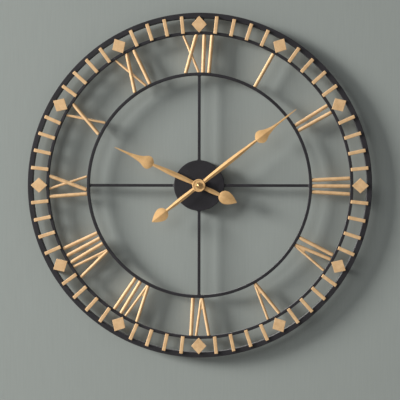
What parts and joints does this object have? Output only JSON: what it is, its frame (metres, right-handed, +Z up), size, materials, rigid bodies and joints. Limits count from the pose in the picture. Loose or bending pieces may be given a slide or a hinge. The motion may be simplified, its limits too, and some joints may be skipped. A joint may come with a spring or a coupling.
{
  "type": "wall clock",
  "caption": "Round skeleton wall clock with an open black ring frame, gold Roman numerals and minute bars, spade hands and a quartz movement behind a hub cover.",
  "frame": {"origin": "on the hand axis, in the plane of the wall that the movement's rear face and the wall pads touch", "axes": "+Z up towards twelve, -Y out of the dial towards the viewer, +X to the viewer's right (three o'clock)"},
  "size_m": [0.6, 0.036, 0.6],
  "materials": {
    "frame_black": "matte black powder coat",
    "gold_paint": "satin gold paint",
    "hand_gold": "satin gold lacquer on sheet",
    "brass": "turned",
    "case_plastic": "moulded, fine grain",
    "gear_plastic": "moulded acetal",
    "rubber": "matte",
    "bright_steel": "rolled",
    "copper_wire": "enamelled copper wire",
    "circuit_board": "solder mask",
    "magnet": "sintered",
    "battery_jacket": "plain printed sleeve"
  },
  "bodies": {
    "frame": {"battery_contact_minus": "bright_steel", "battery_contact_plus": "bright_steel", "brass_washer": "brass", "circuit_board": "circuit_board", "drive_coil": "copper_wire", "fixing_nut": "brass", "hanging_tab": "frame_black", "hub_cover": "frame_black", "inner_ring": "frame_black", "minute_track": "frame_black", "movement_case_front": "case_plastic", "movement_case_rear": "case_plastic", "numeral_10_x": "gold_paint", "numeral_11_i": "gold_paint", "numeral_11_x": "gold_paint", "numeral_12_i1": "gold_paint", "numeral_12_i2": "gold_paint", "numeral_12_x": "gold_paint", "numeral_1_i": "gold_paint", "numeral_2_i1": "gold_paint", "numeral_2_i2": "gold_paint", "numeral_3_i1": "gold_paint", "numeral_3_i2": "gold_paint", "numeral_3_i3": "gold_paint", "numeral_4_i": "gold_paint", "numeral_4_v": "gold_paint", "numeral_5_v": "gold_paint", "numeral_6_i": "gold_paint", "numeral_6_v": "gold_paint", "numeral_7_i1": "gold_paint", "numeral_7_i2": "gold_paint", "numeral_7_v": "gold_paint", "numeral_8_i1": "gold_paint", "numeral_8_i2": "gold_paint", "numeral_8_i3": "gold_paint", "numeral_8_v": "gold_paint", "numeral_9_i": "gold_paint", "numeral_9_x": "gold_paint", "outer_ring": "frame_black", "quartz_crystal": "bright_steel", "spoke_bottom": "frame_black", "spoke_left": "frame_black", "spoke_right": "frame_black", "spoke_top": "frame_black", "stator": "bright_steel", "wall_pad_1": "rubber", "wall_pad_2": "rubber"},
    "minute_hand": {"minute_hand": "hand_gold", "hand_cap_nut": "hand_gold", "minute_arbor": "brass"},
    "hour_hand": {"hour_hand": "hand_gold", "hour_wheel": "gear_plastic"},
    "motion_wheel": {"motion_wheel": "gear_plastic"},
    "setting_knob": {"setting_knob": "gear_plastic"},
    "rotor": {"rotor": "magnet"},
    "step_wheel": {"step_wheel": "gear_plastic"},
    "seconds_wheel": {"seconds_wheel": "gear_plastic"},
    "third_wheel": {"third_wheel": "gear_plastic"},
    "drive_wheel": {"drive_wheel": "gear_plastic"},
    "battery": {"battery": "battery_jacket"}
  },
  "joints": [
    {"name": "minute_turn", "type": "hinge", "parent": "frame", "child": "minute_hand", "pos_m": [0, -0.02, 0], "axis": [0, 1, 0], "continuous": true},
    {"name": "hour_turn", "type": "hinge", "parent": "frame", "child": "hour_hand", "pos_m": [0, -0.02, 0], "axis": [0, 1, 0], "continuous": true},
    {"name": "motion_turn", "type": "hinge", "parent": "frame", "child": "motion_wheel", "pos_m": [0, -0.01, 0.012], "axis": [0, 1, 0], "continuous": true},
    {"name": "knob_turn", "type": "hinge", "parent": "frame", "child": "setting_knob", "pos_m": [-0.012, -0.01, 0.012], "axis": [0, 1, 0], "continuous": true},
    {"name": "rotor_turn", "type": "hinge", "parent": "frame", "child": "rotor", "pos_m": [-0.0121, -0.005, -0.0049], "axis": [0, 1, 0], "continuous": true},
    {"name": "step_turn", "type": "hinge", "parent": "frame", "child": "step_wheel", "pos_m": [-0.0072, -0.004, 0], "axis": [0, 1, 0], "continuous": true},
    {"name": "seconds_turn", "type": "hinge", "parent": "frame", "child": "seconds_wheel", "pos_m": [0, -0.004, 0], "axis": [0, 1, 0], "continuous": true},
    {"name": "third_turn", "type": "hinge", "parent": "frame", "child": "third_wheel", "pos_m": [0.00918, -0.006, 0], "axis": [0, 1, 0], "continuous": true},
    {"name": "drive_turn", "type": "hinge", "parent": "frame", "child": "drive_wheel", "pos_m": [0, -0.008, 0], "axis": [0, 1, 0], "continuous": true},
    {"name": "battery_slide", "type": "slide", "parent": "frame", "child": "battery", "axis": [0, 1, 0], "range_m": [0, 0.018]}
  ],
  "couplings": [
    {"joint": "motion_turn", "follows": "minute_turn", "ratio": -0.33333},
    {"joint": "hour_turn", "follows": "minute_turn", "ratio": 0.083333},
    {"joint": "knob_turn", "follows": "minute_turn", "ratio": 1},
    {"joint": "step_turn", "follows": "rotor_turn", "ratio": -0.16667},
    {"joint": "seconds_turn", "follows": "rotor_turn", "ratio": 0.033333},
    {"joint": "third_turn", "follows": "rotor_turn", "ratio": -0.0044444},
    {"joint": "drive_turn", "follows": "rotor_turn", "ratio": 0.00055556}
  ]
}
